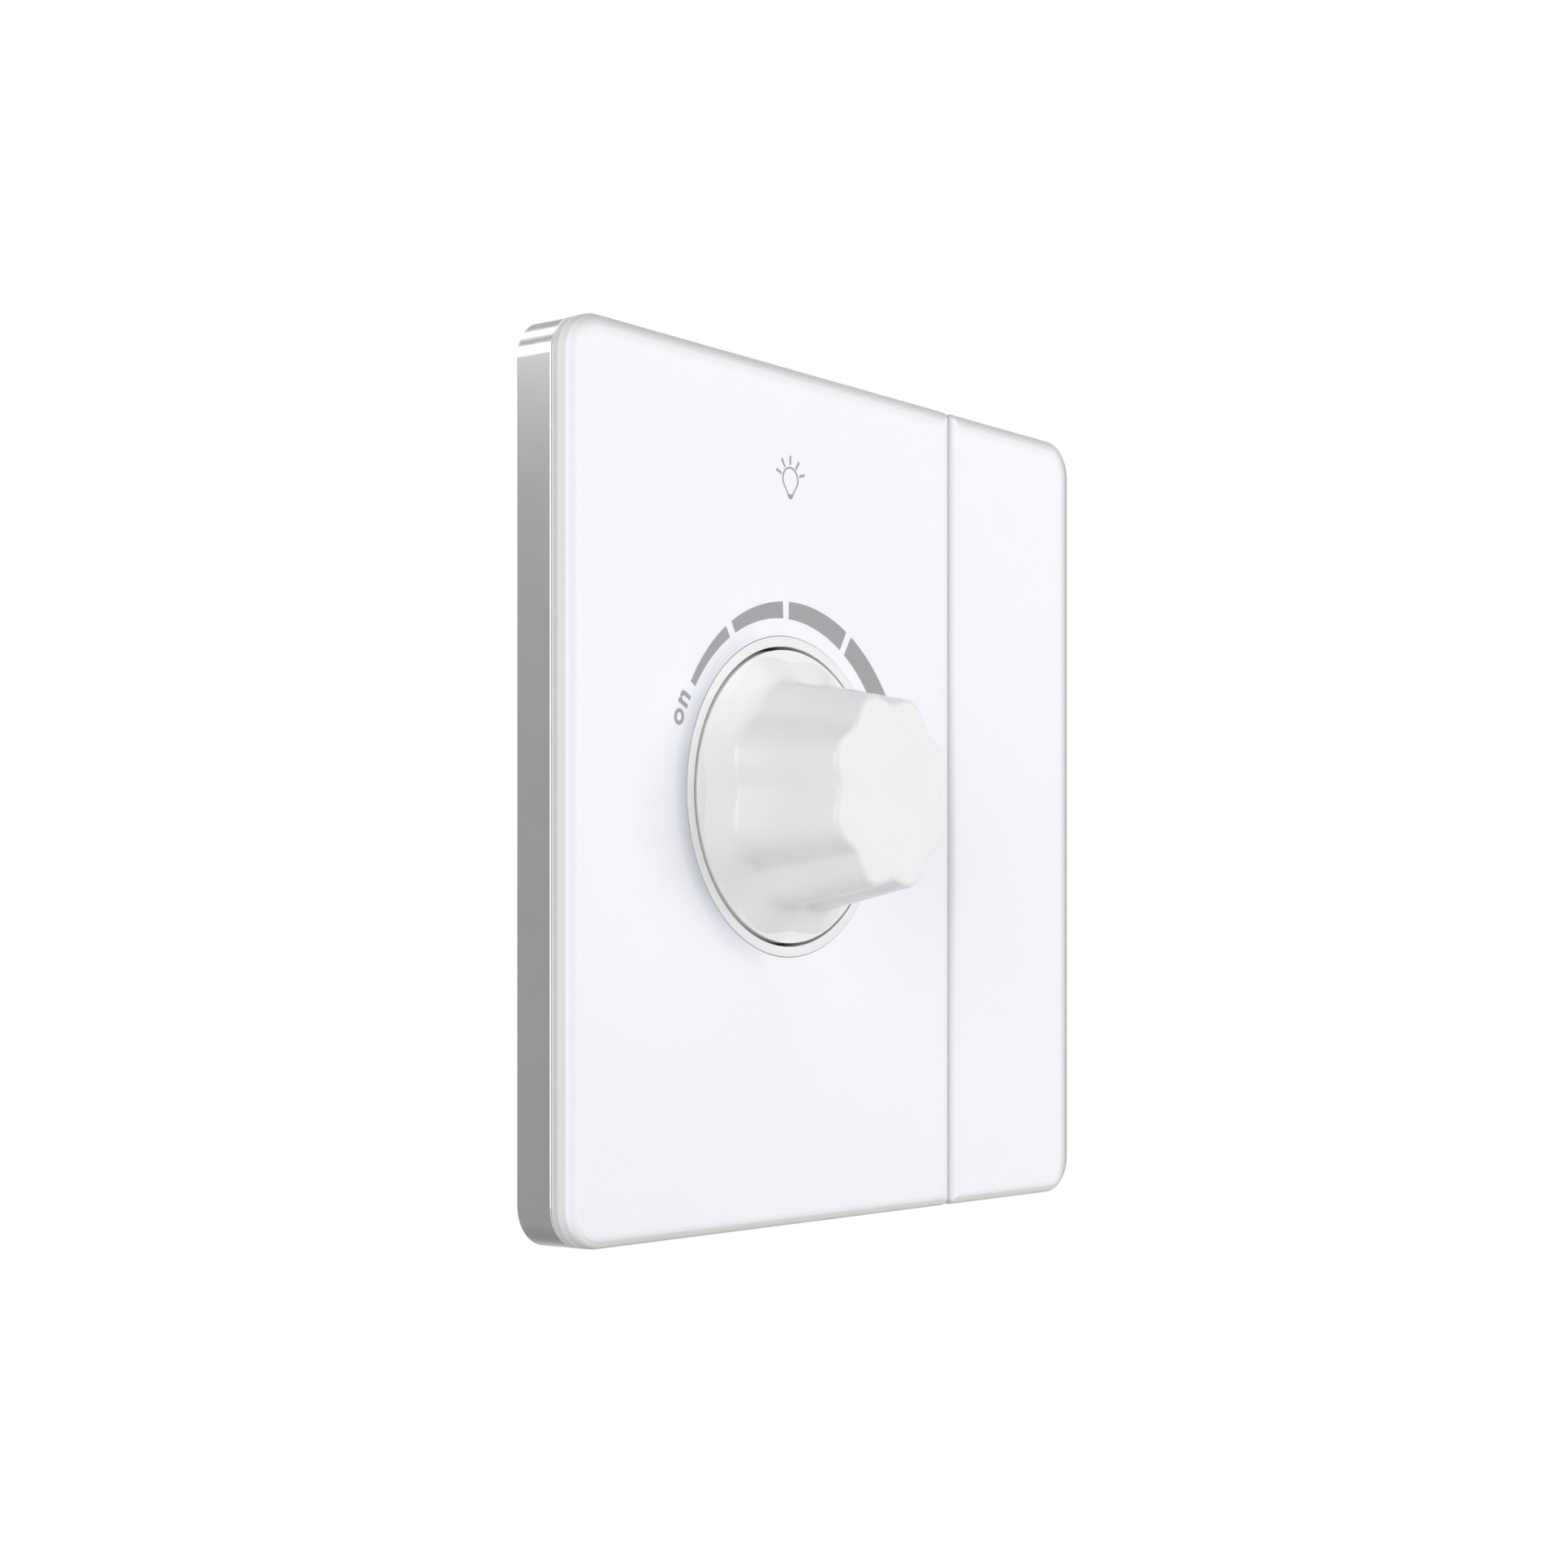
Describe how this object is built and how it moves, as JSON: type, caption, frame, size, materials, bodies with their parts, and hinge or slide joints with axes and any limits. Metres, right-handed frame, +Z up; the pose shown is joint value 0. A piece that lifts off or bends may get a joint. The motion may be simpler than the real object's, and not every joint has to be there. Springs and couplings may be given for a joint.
{
  "type": "rotary dimmer switch",
  "caption": "Square wall plate with clear split front panels, a silver frame and a lobed turning knob that dims a light, over a shallow wired rear housing.",
  "frame": {"origin": "middle of the wall plane, at the centre of the square plate", "axes": "+X right seen from the front, +Y into the wall, +Z up; the front faces -Y"},
  "size_m": [0.086, 0.0395, 0.086],
  "materials": {
    "clear_panel": "clear polished acrylic",
    "white_plastic": "moulded white, satin gloss",
    "silver_frame": "polished silver plating",
    "housing_plastic": "moulded pale grey, fine matte",
    "steel": "zinc-plated steel",
    "brass": "turned and pressed brass",
    "copper": "enamelled copper wire",
    "aluminium": "plain mill finish",
    "black_plastic": "moulded black, fine matte",
    "board": "coated glass-fibre board",
    "phenolic": "pressed phenolic",
    "ferrite": "sintered ferrite",
    "capacitor_plastic": "moulded yellow case",
    "resistor_coat": "dipped beige coat",
    "fuse_glass": "plain glass tube"
  },
  "bodies": {
    "plate": {"front_panel": "clear_panel", "side_strip": "clear_panel", "panel_carrier": "white_plastic", "dial_ring": "white_plastic", "trim_frame": "silver_frame", "mounting_plate": "housing_plastic", "rear_housing": "housing_plastic", "housing_screw_1": "steel", "housing_screw_2": "steel", "housing_screw_3": "steel", "housing_screw_4": "steel", "board_screw_1": "steel", "board_screw_2": "steel", "triac_screw": "steel", "triac_tab": "steel", "pot_case": "steel", "pot_washer": "steel", "fuse_cap_left": "steel", "fuse_cap_right": "steel", "terminal_screw_line": "steel", "terminal_screw_load": "steel", "pot_bushing": "brass", "pot_nut": "brass", "fuse_clip_left": "brass", "fuse_clip_right": "brass", "terminal_line": "brass", "terminal_load": "brass", "choke_winding": "copper", "heat_sink": "aluminium", "switch_case": "black_plastic", "triac_case": "black_plastic", "circuit_board": "board", "pot_track": "phenolic", "diac": "phenolic", "choke_core": "ferrite", "film_capacitor": "capacitor_plastic", "timing_capacitor": "capacitor_plastic", "resistor_1": "resistor_coat", "resistor_2": "resistor_coat", "fuse_tube": "fuse_glass"},
    "knob": {"knob": "white_plastic", "shaft": "aluminium", "knob_clip": "steel", "wiper": "black_plastic"}
  },
  "joints": [
    {"name": "knob_turn", "type": "hinge", "parent": "plate", "child": "knob", "pos_m": [-0.0106, 0, -0.0001], "axis": [0, 1, 0], "range_deg": [0, 270]}
  ]
}
